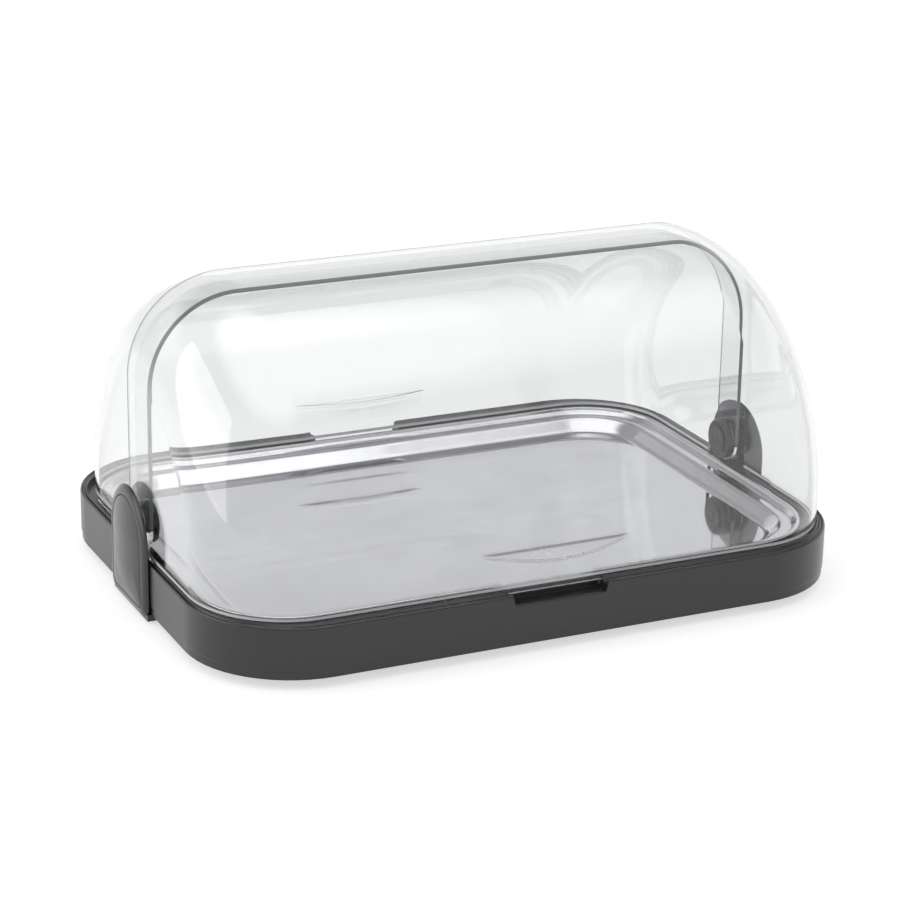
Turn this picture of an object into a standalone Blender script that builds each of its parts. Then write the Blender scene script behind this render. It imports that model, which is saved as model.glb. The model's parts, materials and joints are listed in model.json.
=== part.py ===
"""Chilled roll-top display: two clear half hoods that roll over a steel tray on a dark base.

Metres, +Z up. X runs along the hinge axis, the front is at -Y, and the origin lies on the
surface that the display stands on, under its centre.
"""
import math

import bmesh
import bpy
from mathutils import Vector

# Overall sizes
base_length = 0.426
base_width = 0.320
pivot_height = 0.054

# Clearances that the neighbouring pieces share
seat_gap = 0.0003
bore_gap = 0.0003
overrun = 0.002
embed = 0.0012

# Base shell
base_corner_radius = 0.068
base_bottom = 0.006
base_rim_width = 0.0092
base_rim_round = 0.003
base_wall = 0.003
base_floor = 0.003
base_skirt_height = 0.005
base_skirt_inset = 0.0006
groove_depth = 0.0035
groove_clearance = 0.0006
shelf_width = 0.0116
shelf_thickness = 0.006
shelf_corner_step = 0.009
inner_wall_draft = 0.002
notch_length = 0.064
notch_depth = 0.007
notch_side_slant = 0.0015
screw_boss_radius = 0.0045

# Half hoods: the front one is the outer one
lid_wall = 0.0025
hood_end_inset = 0.004
hood_corner_step = 0.007
lid_gap_radial = 0.0035
lid_gap_axial = 0.002
lid_overlap_half = 0.0145
lid_bottom_gap = 0.0005
rear_corner_step = 0.005
hub_rim_gap = 0.001
hub_plate_width = 0.005
hub_plate_round = 0.004

# Finger grips
grip_length = 0.092
grip_rise = 0.0095
visor_reach = 0.009
visor_drop = 0.005
visor_thickness = 0.0024
scoop_reach = 0.008
scoop_height = 0.015
scoop_rise = 0.0075

# Steel tray
tray_gauge = 0.001
tray_side_gap = 0.0007
tray_corner_step = 0.0015
tray_bead_height = 0.0031
tray_bead_width = 0.0028
tray_ledge_drop = 0.0042
tray_ledge_start = 0.0065
tray_ledge_width = 0.0062
tray_dish_depth = 0.0078
tray_dish_slope = 0.0085
tray_round = 0.0015

# Brackets, with their covers and pins
bracket_width = 0.064
bracket_arch_drop = 0.0075
bracket_bottom = 0.0015
bracket_lid_gap = 0.0005
bracket_edge_proud = 0.003
bracket_border_proud = 0.0043
bracket_edge_round = 0.002
bracket_boss_radius = 0.011
bracket_flange_height = 0.0042
bracket_flange_reach = 0.018
cover_border = 0.0065
cover_depth = 0.0015
cover_slope_width = 0.003
cover_slope_rise = 0.0015
cover_dome_rise = 0.0012
cover_dome_share = 0.7
pin_radius = 0.004
pin_head_radius = 0.007
pin_head_height = 0.0018
pin_bore_radius = 0.0018
pin_bore_depth = 0.0088

# Discs, washers and screws on the pins
washer_radius = 0.009
disc_hub_inset = 0.0005
disc_thickness = 0.0052
disc_edge = 0.0008
disc_rim_width = 0.0034
disc_groove_width = 0.0014
disc_groove_depth = 0.0009
disc_boss_proud = 0.0005
disc_web = 0.0014
screw_radius = 0.0015
screw_head_radius = 0.0032
screw_head_height = 0.0011
disc_screw_length = 0.0085

# Bracket screws, from below
flange_screw_spread = 0.040
flange_screw_length = 0.014
flange_screw_head_height = 0.0019

# Rubber feet
foot_radius = 0.009
foot_taper = 0.0012
foot_recess = 0.0008
foot_side_inset = 0.058
foot_front_inset = 0.050

# Cool packs
pack_end_gap = 0.017
pack_side_gap = 0.0252
pack_headroom = 0.0021
pack_spacing = 0.006
pack_corner_radius = 0.020
pack_edge_round = 0.003
pack_panel_inset = 0.016
pack_panel_depth = 0.0012
pack_cap_radius = 0.0085
pack_cap_height = 0.0022
pack_cap_inset = 0.032

# Counts of facets
corner_steps = 8
lid_steps = 20
lid_corner_steps = 5
turn_steps = 24
small_turn_steps = 12
grip_steps = 12
round_steps = 3
bead_steps = 5
smooth_degrees = 35

# What follows from them
half_length = base_length / 2
half_width = base_width / 2
rim_top = pivot_height - lid_overlap_half - hub_rim_gap
groove_floor = rim_top - groove_depth
hood_half_length = half_length - hood_end_inset
hood_half_width = half_width - base_rim_width - groove_clearance
hood_radius = math.hypot(hood_half_width, pivot_height - rim_top)
hood_corner_radius = base_corner_radius - hood_corner_step
rear_half_length = hood_half_length - lid_wall - lid_gap_axial
rear_radius = hood_radius - lid_wall - lid_gap_radial
rear_corner_radius = hood_corner_radius - rear_corner_step
lid_low = pivot_height - groove_floor - lid_bottom_gap
hub_plate_edge = lid_overlap_half + hub_plate_width
shelf_half_length = hood_half_length + groove_clearance - shelf_width
shelf_half_width = hood_half_width + groove_clearance - shelf_width
shelf_corner_radius = hood_corner_radius - shelf_corner_step
tray_half_length = rear_half_length - lid_wall - tray_side_gap
tray_half_width = math.sqrt((rear_radius - lid_wall)**2 - lid_low**2) - tray_side_gap - seat_gap
tray_corner_radius = rear_corner_radius - tray_corner_step
tray_bead_top = groove_floor + seat_gap + tray_bead_height
tray_ledge_top = tray_bead_top - tray_ledge_drop
tray_floor_top = tray_ledge_top - tray_dish_depth
base_floor_top = base_bottom + base_floor
cavity_half_length = shelf_half_length - inner_wall_draft
cavity_half_width = shelf_half_width - inner_wall_draft
pack_length = cavity_half_length - pack_end_gap - pack_spacing / 2
pack_width = 2 * (cavity_half_width - pack_side_gap)
pack_bottom = base_floor_top + seat_gap
pack_top = tray_floor_top - tray_gauge - pack_headroom
pack_round = min(pack_edge_round, (pack_top - pack_bottom) / 3)
arch_height = pivot_height - bracket_arch_drop
bracket_wall = half_length + seat_gap
bracket_edge_face = half_length + bracket_edge_proud
bracket_face = half_length + bracket_border_proud
bracket_inner = hood_half_length + bracket_lid_gap
cover_recess = bracket_face - cover_depth
pin_head_top = cover_recess - seat_gap
pin_head_seat = pin_head_top - pin_head_height
rear_inner_face = rear_half_length - lid_wall
disc_radius = lid_overlap_half - disc_hub_inset
disc_outer_face = rear_inner_face - seat_gap
disc_face = disc_outer_face - disc_thickness
disc_boss_face = disc_face - disc_boss_proud
disc_screw_seat = disc_boss_face + screw_head_height + seat_gap
disc_web_top = disc_screw_seat + disc_web
pin_end = disc_web_top + seat_gap
flange_top = bracket_bottom + bracket_flange_height
flange_screw_seat = bracket_bottom + flange_screw_head_height + seat_gap
channel_inner = cavity_half_length + base_wall
channel_outer = half_length - base_wall - base_skirt_inset
flange_screw_offset = (channel_inner + channel_outer) / 2
bore_radius = pin_radius + bore_gap


def clear_scene():
    for old in list(bpy.data.objects):
        bpy.data.objects.remove(old, do_unlink=True)


def material(name, colour, roughness, metallic=0.0, transmission=0.0):
    made = bpy.data.materials.new(name)
    made.use_nodes = True
    shader = made.node_tree.nodes["Principled BSDF"]
    shader.inputs["Base Color"].default_value = (*colour, 1.0)
    shader.inputs["Roughness"].default_value = roughness
    shader.inputs["Metallic"].default_value = metallic
    shader.inputs["Transmission Weight"].default_value = transmission
    made.diffuse_color = (*colour, 1.0)
    return made


def make_object(name, mesh_data, look=None):
    """Put a bmesh into an object of that name, its faces pointing out."""
    bmesh.ops.recalc_face_normals(mesh_data, faces=mesh_data.faces)
    mesh = bpy.data.meshes.new(name)
    mesh_data.to_mesh(mesh)
    mesh_data.free()
    mesh.shade_smooth()
    mesh.set_sharp_from_angle(angle=math.radians(smooth_degrees))
    made = bpy.data.objects.new(name, mesh)
    bpy.context.scene.collection.objects.link(made)
    if look:
        mesh.materials.append(look)
    return made


def hide_tool(tool):
    tool.hide_render = True
    tool.display_type = 'WIRE'
    return tool


def combine(target, tool, operation):
    """Cut the tool from the target, join it on, or keep what both fill."""
    step = target.modifiers.new(tool.name, 'BOOLEAN')
    step.operation = operation
    step.solver = 'EXACT'
    step.object = hide_tool(tool)


def loft(name, rings, look=None):
    """Skin a row of rings and cap both ends."""
    shape = bmesh.new()
    skin = [[shape.verts.new(point) for point in ring] for ring in rings]
    for lower, upper in zip(skin, skin[1:]):
        for place in range(len(lower)):
            after = (place + 1) % len(lower)
            shape.faces.new((lower[place], lower[after], upper[after], upper[place]))
    shape.faces.new(list(reversed(skin[0])))
    shape.faces.new(skin[-1])
    return make_object(name, shape, look)


def rounded_rectangle(half_x, half_y, radius, height, steps=corner_steps):
    """A level ring with round corners, anticlockwise from the +X side."""
    ring = []
    for quarter, (side_x, side_y) in enumerate(((1, 1), (-1, 1), (-1, -1), (1, -1))):
        middle = Vector((side_x * (half_x - radius), side_y * (half_y - radius), height))
        for step in range(steps + 1):
            angle = (quarter + step / steps) * math.pi / 2
            ring.append(middle + Vector((radius * math.cos(angle), radius * math.sin(angle), 0)))
    return ring


def moved(ring, offset):
    return [point + Vector(offset) for point in ring]


def turned(name, profile, axis, centre, look=None, steps=turn_steps):
    """Turn a closed profile of (radius, along) about the X or Z axis through the centre."""
    shape = bmesh.new()
    rings = []
    for radius, along in profile:
        count = steps if radius else 1
        ring = []
        for step in range(count):
            angle = 2 * math.pi * step / steps
            across = (radius * math.cos(angle), radius * math.sin(angle))
            spot = (along, *across) if axis == 'X' else (*across, along)
            ring.append(shape.verts.new(Vector(centre) + Vector(spot)))
        rings.append(ring)
    pairs = list(zip(rings, rings[1:]))
    if len(rings[0]) > 1 and len(rings[-1]) > 1:
        pairs.append((rings[-1], rings[0]))
    for first, second in pairs:
        for step in range(steps):
            after = (step + 1) % steps
            if len(first) == 1:
                shape.faces.new((first[0], second[after], second[step]))
            elif len(second) == 1:
                shape.faces.new((first[step], first[after], second[0]))
            else:
                shape.faces.new((first[step], first[after], second[after], second[step]))
    return make_object(name, shape, look)


def rod(name, radius, start, end, axis, centre, look=None, steps=small_turn_steps):
    return turned(name, ((0, start), (radius, start), (radius, end), (0, end)), axis, centre, look, steps)


def arch(half, bottom, along, side, inset=0.0):
    """An upright outline at x = along: straight sides with a half round top."""
    reach = half - inset
    outline = [Vector((side * along, -reach, bottom)), Vector((side * along, reach, bottom))]
    for step in range(turn_steps // 2 + 1):
        angle = 2 * math.pi * step / turn_steps
        height = arch_height + reach * math.sin(angle)
        outline.append(Vector((side * along, reach * math.cos(angle), height)))
    return outline


def round_outline(radius, along):
    """A round outline about the pivot at x = along."""
    outline = []
    for step in range(turn_steps):
        angle = 2 * math.pi * step / turn_steps
        outline.append(Vector((along, radius * math.cos(angle), pivot_height + radius * math.sin(angle))))
    return outline


def outline_prism(name, outline, axis_vector):
    """A flat outline pushed along a vector."""
    return loft(name, [outline, moved(outline, axis_vector)])


def base_ring(inset, height):
    """A ring a little way in from the base's outer wall."""
    return rounded_rectangle(half_length - inset, half_width - inset, base_corner_radius - inset, height)


def build_base(look):
    groove_x = hood_half_length + groove_clearance
    groove_y = hood_half_width + groove_clearance
    groove_radius = hood_corner_radius + groove_clearance
    ceiling = groove_floor - shelf_thickness
    cavity_radius = shelf_corner_radius - inner_wall_draft
    shell_x = cavity_half_length + base_wall
    shell_y = cavity_half_width + base_wall
    shell_radius = cavity_radius + base_wall
    rings = [
        rounded_rectangle(shell_x, shell_y, shell_radius, base_bottom),
        rounded_rectangle(shell_x, shell_y, shell_radius, ceiling),
        base_ring(base_wall + base_skirt_inset, ceiling),
        base_ring(base_wall + base_skirt_inset, base_bottom),
        base_ring(base_skirt_inset, base_bottom),
        base_ring(base_skirt_inset, base_bottom + base_skirt_height),
        base_ring(0, base_bottom + base_skirt_height + base_skirt_inset),
    ]
    for step in range(round_steps + 1):
        angle = math.pi / 2 * step / round_steps
        inset = base_rim_round * (1 - math.cos(angle))
        rings.append(base_ring(inset, rim_top - base_rim_round * (1 - math.sin(angle))))
    rings += [
        rounded_rectangle(groove_x, groove_y, groove_radius, rim_top),
        rounded_rectangle(groove_x, groove_y, groove_radius, groove_floor),
        rounded_rectangle(shelf_half_length, shelf_half_width, shelf_corner_radius, groove_floor),
        rounded_rectangle(cavity_half_length, cavity_half_width, cavity_radius, base_floor_top),
    ]
    base = loft("base_shell", rings, look)
    for side, where in ((-1, "front"), (1, "rear")):
        combine(base, notch_cutter(where + "_notch", side, groove_y), 'DIFFERENCE')
    for side in (-1, 1):
        for place in (-1, 1):
            centre = (side * flange_screw_offset, place * flange_screw_spread / 2, 0)
            label = "boss_%d_%d" % (side, place)
            boss = rod(label, screw_boss_radius, base_bottom, ceiling + embed, 'Z', centre)
            combine(base, boss, 'UNION')
            hole_top = flange_screw_seat + flange_screw_length + seat_gap
            hole = rod(label + "_hole", screw_radius + bore_gap, bracket_bottom, hole_top, 'Z', centre)
            combine(base, hole, 'DIFFERENCE')
    for centre, where in foot_places():
        wide = foot_radius + seat_gap
        recess_top = base_bottom + foot_recess
        recess = rod(where + "_foot_recess", wide, 0, recess_top, 'Z', centre, None, turn_steps)
        combine(base, recess, 'DIFFERENCE')
    return base


def notch_cutter(name, side, groove_y):
    """A block that opens the rim for two fingers under the hood's bottom edge."""
    floor = rim_top - notch_depth
    rings = []
    wide = notch_length / 2
    for height, half in ((floor, wide - notch_side_slant), (rim_top + overrun, wide)):
        near = side * (groove_y - overrun)
        far = side * (half_width + overrun)
        rings.append([Vector((-half, near, height)), Vector((half, near, height)),
                      Vector((half, far, height)), Vector((-half, far, height))])
    return loft(name, rings)


def build_tray(look):
    """A pressed steel tray: rolled bead, ledge, sloped step and flat floor."""
    slope_start = tray_ledge_start + tray_ledge_width
    slope_end = slope_start + tray_dish_slope
    crown = tray_bead_width / 2
    top = [
        (0, groove_floor + seat_gap),
        (0, tray_bead_top - crown),
    ]
    for step in range(1, bead_steps):
        angle = math.pi * step / bead_steps
        top.append((crown - crown * math.cos(angle), tray_bead_top - crown + crown * math.sin(angle)))
    top += [
        (tray_ledge_start - tray_round, tray_ledge_top + tray_round),
        (tray_ledge_start, tray_ledge_top),
        (slope_start, tray_ledge_top),
        (slope_start + tray_round, tray_ledge_top - tray_round / 2),
        (slope_end - tray_round, tray_floor_top + tray_round / 2),
        (slope_end, tray_floor_top),
    ]
    under = offset_line(top, tray_gauge)
    rings = []
    for inset, height in list(reversed(under)) + top:
        rings.append(rounded_rectangle(tray_half_length - inset, tray_half_width - inset,
                                       tray_corner_radius - inset, height))
    return loft("steel_tray", rings, look)


def offset_line(line, distance):
    """The same line moved to its right hand side by the sheet's thickness."""
    moved_line = []
    for place, (inset, height) in enumerate(line):
        before = line[max(place - 1, 0)]
        after = line[min(place + 1, len(line) - 1)]
        run_in = Vector((inset - before[0], height - before[1]))
        run_out = Vector((after[0] - inset, after[1] - height))
        normals = [Vector((run.y, -run.x)).normalized() for run in (run_in, run_out) if run.length]
        mean = sum(normals, Vector((0, 0))).normalized()
        stretch = 1 / mean.dot(normals[0])
        moved_line.append((inset + mean.x * distance * stretch, height + mean.y * distance * stretch))
    return moved_line


def hood_profile(half, radius, corner):
    """Points (x, distance from the axis) from the left end wall over to the right one."""
    quarter = []
    for step in range(lid_corner_steps + 1):
        angle = math.pi / 2 * step / lid_corner_steps
        along = half - corner + corner * math.cos(angle)
        quarter.append((along, radius - corner + corner * math.sin(angle)))
    return [(-along, reach) for along, reach in quarter] + list(reversed(quarter))


def hood_rows(profile):
    """Rows over the half hood from its level bottom edge over the top to its upright far edge."""
    rows = []
    for along, reach in profile:
        first = -math.asin(lid_low / reach)
        last = math.pi / 2 + math.asin(lid_overlap_half / reach)
        row = []
        for step in range(lid_steps + 1):
            angle = first + (last - first) * step / lid_steps
            row.append((along, -reach * math.cos(angle), reach * math.sin(angle)))
        rows.append(row)
    return rows


def hub_outline():
    """The end wall's lower outline, from the far edge round the hub to the bottom edge."""
    points = []
    for step in range(turn_steps // 2 + 1):
        angle = 2 * math.pi * step / turn_steps
        points.append((lid_overlap_half * math.cos(angle), -lid_overlap_half * math.sin(angle)))
    points.append((-hub_plate_edge, 0))
    points.append((-hub_plate_edge, hub_plate_round - lid_low))
    points.append((-hub_plate_edge - hub_plate_round, -lid_low))
    return points


def build_lid(name, half, radius, corner, front, look):
    """One half hood about the pivot, its end walls carried down round the hubs."""
    facing = 1 if front else -1
    shape = bmesh.new()

    def new_vert(along, across, up):
        return shape.verts.new((along, facing * across, up))

    shells = []
    for inset in (0, lid_wall):
        profile = hood_profile(half - inset, radius - inset, corner - inset)
        shells.append([[new_vert(*point) for point in row] for row in hood_rows(profile)])
    outer, inner = shells
    for skin in shells:
        for row, after in zip(skin, skin[1:]):
            for step in range(lid_steps):
                shape.faces.new((row[step], row[step + 1], after[step + 1], after[step]))
    for end in (0, lid_steps):
        edge = [(row[end], lining[end]) for row, lining in zip(outer, inner)]
        for (first, first_inner), (second, second_inner) in zip(edge, edge[1:]):
            shape.faces.new((first, second, second_inner, first_inner))
    for row, side in ((0, -1), (-1, 1)):
        walls = []
        for skin, inset in ((outer, 0), (inner, lid_wall)):
            low = [new_vert(side * (half - inset), *point) for point in hub_outline()]
            walls.append([skin[row][lid_steps]] + low + [skin[row][0]])
            shape.faces.new(skin[row] + low)
        for place in range(len(walls[0]) - 1):
            shape.faces.new((walls[0][place], walls[0][place + 1], walls[1][place + 1], walls[1][place]))
    lid = make_object(name, shape, look)
    lid.location = (0, 0, pivot_height)
    for side in (-1, 1):
        start = side * (half + overrun)
        end = side * (half - lid_wall - overrun)
        centre = (0, 0, pivot_height)
        bore = rod("%s_bore_%d" % (name, side), bore_radius, start, end, 'X', centre, None, turn_steps)
        combine(lid, bore, 'DIFFERENCE')
    return lid


def grip_share(step):
    """How far along the grip a step is, from -1 to 1, and how full its bow is there."""
    along_share = 2 * step / grip_steps - 1
    return along_share, 1 - along_share**2


def add_visor(lid):
    """A bowed ledge on the outside of the front half hood."""
    rings = []
    for step in range(grip_steps + 1):
        along_share, bow_share = grip_share(step)
        along = along_share * grip_length / 2
        reach = hood_radius + visor_reach * bow_share - embed * (1 - bow_share)
        lip = pivot_height + grip_rise - visor_drop * bow_share
        root = hood_radius - embed
        level = pivot_height + grip_rise
        rings.append([Vector((along, -root, level)), Vector((along, -reach, lip)),
                      Vector((along, -reach, lip - visor_thickness)),
                      Vector((along, -root, level - visor_thickness))])
    combine(lid, loft("visor", rings), 'UNION')


def scoop_ring(along, reach, outer, roof, thickness):
    """One section of the scoop: a level roof and a slope back to the hood's surface."""
    foot = roof - scoop_height
    deep = rear_radius - reach - thickness
    return [Vector((along, outer, roof + thickness)), Vector((along, deep, roof + thickness)),
            Vector((along, deep, roof - visor_thickness)), Vector((along, outer, foot - thickness))]


def add_scoop(lid):
    """A finger scoop let into the rear half hood, so that nothing on it stands proud."""
    roof = pivot_height + scoop_rise
    bodies = []
    voids = []
    for step in range(grip_steps + 1):
        along_share, bow_share = grip_share(step)
        along = along_share * grip_length / 2
        reach = scoop_reach * bow_share - embed * (1 - bow_share)
        wall_share = 1 + lid_wall / (grip_length / 2)
        bodies.append(scoop_ring(along * wall_share, reach, rear_radius - embed, roof, lid_wall))
        voids.append(scoop_ring(along, reach, rear_radius + overrun, roof, 0))
    combine(lid, loft("scoop_body", bodies), 'UNION')
    combine(lid, loft("scoop_void", voids), 'DIFFERENCE')


def build_bracket(side, word, look):
    """A tall arch beside the base, with a boss round the pin and a flange screwed on from below."""
    half = bracket_width / 2
    name = word + "_bracket"
    top = arch_height + half + overrun
    flange_end = half_length - bracket_flange_reach
    outside = bracket_face + overrun
    profile = [(flange_end, bracket_bottom), (outside, bracket_bottom), (outside, top),
               (bracket_wall, top), (bracket_wall, flange_top), (flange_end, flange_top)]
    outline = [Vector((side * along, -half - overrun, height)) for along, height in profile]
    bracket = outline_prism(name, outline, (0, bracket_width + 2 * overrun, 0))
    bracket.data.materials.append(look)
    below = bracket_bottom - overrun
    rings = [arch(half, below, flange_end - overrun, side)]
    for step in range(round_steps + 1):
        angle = math.pi / 2 * step / round_steps
        inset = bracket_edge_round * (1 - math.cos(angle))
        along = bracket_edge_face - bracket_edge_round * (1 - math.sin(angle))
        rings.append(arch(half, below, along, side, inset))
    border_bottom = bracket_bottom + cover_border
    for along in (bracket_face, cover_recess):
        rings.append(arch(half, border_bottom, along, side, cover_border))
    combine(bracket, loft(name + "_outline", rings), 'INTERSECT')
    centre = (0, 0, pivot_height)
    boss_outline = round_outline(bracket_boss_radius, side * bracket_inner)
    boss_length = bracket_wall + embed - bracket_inner
    boss = outline_prism(name + "_boss", boss_outline, (side * boss_length, 0, 0))
    combine(bracket, boss, 'UNION')
    head_bore = pin_head_radius + bore_gap
    seat = pin_head_seat - seat_gap
    bore_start = bracket_inner - overrun
    bore_end = cover_recess + overrun
    bore_outline = ((0, bore_start), (bore_radius, bore_start), (bore_radius, seat),
                    (head_bore, seat), (head_bore, bore_end), (0, bore_end))
    bore_profile = [(radius, side * along) for radius, along in bore_outline]
    combine(bracket, turned(name + "_bore", bore_profile, 'X', centre), 'DIFFERENCE')
    for place in (-1, 1):
        centre = (side * flange_screw_offset, place * flange_screw_spread / 2, 0)
        wide = screw_head_radius + bore_gap
        slim = screw_radius + bore_gap
        start = bracket_bottom - overrun
        end = flange_top + overrun
        hole_profile = ((0, start), (wide, start), (wide, flange_screw_seat),
                        (slim, flange_screw_seat), (slim, end), (0, end))
        hole = turned("%s_hole_%d" % (name, place), hole_profile, 'Z', centre, None, small_turn_steps)
        combine(bracket, hole, 'DIFFERENCE')
    return bracket


def build_cover(side, word, look):
    """The raised panel in the bracket's face: a slope all round, then a gentle dome."""
    half = bracket_width / 2 - cover_border - seat_gap
    bottom = bracket_bottom + cover_border + seat_gap
    slope_top = bracket_face + cover_slope_rise
    rings = [
        arch(half, bottom, cover_recess + seat_gap, side),
        arch(half, bottom, bracket_face, side),
        arch(half, bottom + cover_slope_width, slope_top, side, cover_slope_width),
    ]
    dome_width = (half - cover_slope_width) * cover_dome_share
    for step in range(1, round_steps + 1):
        share = step / round_steps
        inset = cover_slope_width + dome_width * share
        along = slope_top + cover_dome_rise * (1 - (1 - share)**2)
        rings.append(arch(half, bottom + inset, along, side, inset))
    return loft(word + "_bracket_cover", rings, look)


def build_pin(side, word, look):
    """The pin that both half hoods turn on, its head in the bracket."""
    bore_end = pin_end + pin_bore_depth
    outline = ((0, pin_head_top), (pin_head_radius, pin_head_top), (pin_head_radius, pin_head_seat),
               (pin_radius, pin_head_seat), (pin_radius, pin_end), (pin_bore_radius, pin_end),
               (pin_bore_radius, bore_end), (0, bore_end))
    profile = [(radius, side * along) for radius, along in outline]
    return turned(word + "_pivot_pin", profile, 'X', (0, 0, pivot_height), look)


def build_washer(side, word, look):
    """The spacer that keeps the two end walls apart."""
    inner = side * (rear_half_length + seat_gap)
    outer = side * (hood_half_length - lid_wall - seat_gap)
    profile = ((bore_radius, inner), (washer_radius, inner), (washer_radius, outer), (bore_radius, outer))
    return turned(word + "_spacer_washer", profile, 'X', (0, 0, pivot_height), look)


def build_disc(side, word, look):
    """The round knob inside the hood that keeps both end walls on the pin."""
    rim_inner = disc_radius - disc_rim_width
    boss_radius = rim_inner - disc_groove_width
    head_bore = screw_head_radius + bore_gap
    screw_bore = screw_radius + bore_gap
    ring_floor = disc_face + disc_groove_depth
    outline = (
        (bore_radius, disc_outer_face), (disc_radius, disc_outer_face),
        (disc_radius, disc_face + disc_edge), (disc_radius - disc_edge, disc_face),
        (rim_inner, disc_face), (rim_inner, ring_floor),
        (boss_radius, ring_floor), (boss_radius, disc_boss_face + disc_edge),
        (boss_radius - disc_edge, disc_boss_face), (head_bore, disc_boss_face),
        (head_bore, disc_screw_seat), (screw_bore, disc_screw_seat),
        (screw_bore, disc_web_top), (bore_radius, disc_web_top),
    )
    profile = [(radius, side * along) for radius, along in outline]
    return turned(word + "_pivot_disc", profile, 'X', (0, 0, pivot_height), look)


def build_disc_screw(side, word, look):
    head_face = disc_boss_face + seat_gap / 2
    head_seat = disc_screw_seat - seat_gap / 2
    tip = head_seat + disc_screw_length
    outline = ((0, head_face), (screw_head_radius, head_face), (screw_head_radius, head_seat),
               (screw_radius, head_seat), (screw_radius, tip), (0, tip))
    profile = [(radius, side * along) for radius, along in outline]
    return turned(word + "_disc_screw", profile, 'X', (0, 0, pivot_height), look, small_turn_steps)


def build_bracket_screw(side, place, name, look):
    head_seat = flange_screw_seat - seat_gap
    head_face = head_seat - flange_screw_head_height + seat_gap
    tip = head_seat + flange_screw_length
    profile = ((0, head_face), (screw_head_radius, head_face), (screw_head_radius, head_seat),
               (screw_radius, head_seat), (screw_radius, tip), (0, tip))
    centre = (side * flange_screw_offset, place * flange_screw_spread / 2, 0)
    return turned(name, profile, 'Z', centre, look, small_turn_steps)


def foot_places():
    """The centres of the four feet, with the words for where they are."""
    places = []
    for side, word in ((-1, "left"), (1, "right")):
        for depth, end in ((-1, "front"), (1, "rear")):
            centre = (side * (half_length - foot_side_inset), depth * (half_width - foot_front_inset), 0)
            places.append((centre, end + "_" + word))
    return places


def build_foot(centre, where, look):
    top = base_bottom + foot_recess - seat_gap
    narrow = foot_radius - foot_taper
    profile = ((0, 0), (narrow, 0), (foot_radius, base_bottom), (foot_radius, top), (0, top))
    return turned(where + "_foot", profile, 'Z', centre, look)


def pack_middle(side):
    return side * (pack_spacing + pack_length) / 2


def build_pack(side, word, look):
    """A filled cool pack: rounded edges and a shallow sunk panel on top."""
    middle = (pack_middle(side), 0, 0)

    def ring(inset, height):
        return moved(rounded_rectangle(pack_length / 2 - inset, pack_width / 2 - inset,
                                       pack_corner_radius - inset, height, corner_steps // 2), middle)

    rings = []
    for step in range(round_steps + 1):
        angle = math.pi / 2 * step / round_steps
        inset = pack_round * (1 - math.sin(angle))
        rings.append(ring(inset, pack_bottom + pack_round * (1 - math.cos(angle))))
    for step in range(round_steps + 1):
        angle = math.pi / 2 * step / round_steps
        inset = pack_round * (1 - math.cos(angle))
        rings.append(ring(inset, pack_top - pack_round * (1 - math.sin(angle))))
    rings.append(ring(pack_panel_inset, pack_top))
    rings.append(ring(pack_panel_inset + pack_panel_depth, pack_top - pack_panel_depth))
    pack = loft(word + "_cool_pack", rings, look)
    wide = pack_cap_radius + seat_gap
    floor = pack_top - pack_cap_height - seat_gap
    end = pack_top + overrun
    socket = rod(word + "_cap_socket", wide, floor, end, 'Z', cap_centre(side), None, turn_steps)
    combine(pack, socket, 'DIFFERENCE')
    return pack


def cap_centre(side):
    across = pack_width / 2 - pack_cap_inset
    along = pack_middle(side) + side * (pack_length / 2 - pack_cap_inset)
    return (along, across, 0)


def build_pack_cap(side, word, look):
    name = word + "_cool_pack_cap"
    bottom = pack_top - pack_cap_height
    return rod(name, pack_cap_radius, bottom, pack_top, 'Z', cap_centre(side), look, turn_steps)


def main():
    clear_scene()
    dark = material("dark ABS", (0.055, 0.055, 0.058), 0.35)
    clear = material("clear SAN", (0.95, 0.97, 0.97), 0.03, 0.0, 0.9)
    steel = material("polished steel", (0.72, 0.72, 0.72), 0.12, 1.0)
    zinc = material("zinc plated steel", (0.55, 0.55, 0.55), 0.3, 1.0)
    nylon = material("white nylon", (0.85, 0.85, 0.82), 0.45)
    rubber = material("black rubber", (0.02, 0.02, 0.02), 0.8)
    pack_shell = material("pale blue polyethylene", (0.55, 0.72, 0.85), 0.5)
    cap_plastic = material("white polyethylene", (0.9, 0.9, 0.9), 0.5)

    build_base(dark)
    build_tray(steel)
    front = build_lid("front_lid", hood_half_length, hood_radius, hood_corner_radius, True, clear)
    add_visor(front)
    rear = build_lid("rear_lid", rear_half_length, rear_radius, rear_corner_radius, False, clear)
    add_scoop(rear)
    for side, word in ((-1, "left"), (1, "right")):
        build_bracket(side, word, dark)
        build_cover(side, word, dark)
        build_pin(side, word, steel)
        build_washer(side, word, nylon)
        build_disc(side, word, dark)
        build_disc_screw(side, word, zinc)
        for place, end in ((-1, "front"), (1, "rear")):
            build_bracket_screw(side, place, "%s_%s_bracket_screw" % (word, end), zinc)
        build_pack(side, word, pack_shell)
        build_pack_cap(side, word, cap_plastic)
    for centre, where in foot_places():
        build_foot(centre, where, rubber)


main()
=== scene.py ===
"""Chilled roll-top display: finished pieces, materials, light and camera round its CAD frame.

Metres, +Z up. X runs along the hinge axis and the front is at -Y.
"""

import json
import math

import bmesh
import bpy
from bpy.props import FloatProperty, FloatVectorProperty, IntProperty, PointerProperty
from mathutils import Matrix, Vector


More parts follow.
